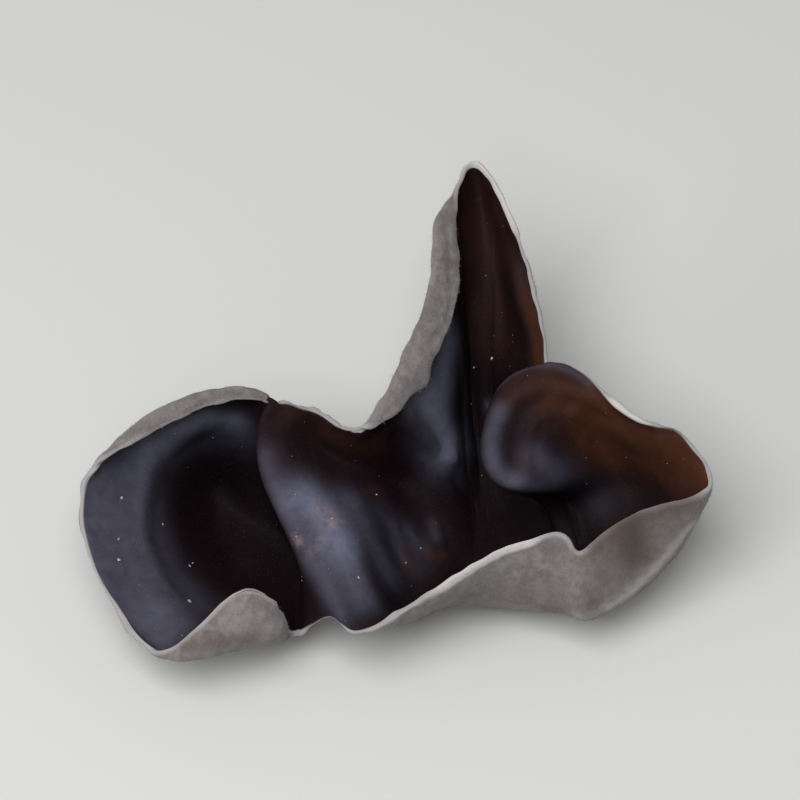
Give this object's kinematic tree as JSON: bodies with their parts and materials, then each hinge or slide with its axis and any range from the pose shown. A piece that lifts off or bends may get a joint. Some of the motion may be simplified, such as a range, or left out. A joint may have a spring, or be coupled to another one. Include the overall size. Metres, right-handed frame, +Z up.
{
  "type": "dried wood ear mushroom",
  "caption": "Thin dried wood ear mushroom, felted outside and smooth inside, folded into hollows around a rounded nose, with a tall pointed lobe and a curled margin.",
  "frame": {"origin": "middle of the ear's box in plan, on the ground that the ear rests on", "axes": "+Z up, +X along the ear's longest side, to the right as the picture sees it, +Y away from the picture's viewer"},
  "size_m": [0.0516, 0.0422, 0.0186],
  "materials": {
    "dried_skin": "matte"
  },
  "bodies": {
    "root": {"ear": "dried_skin"}
  },
  "joints": []
}
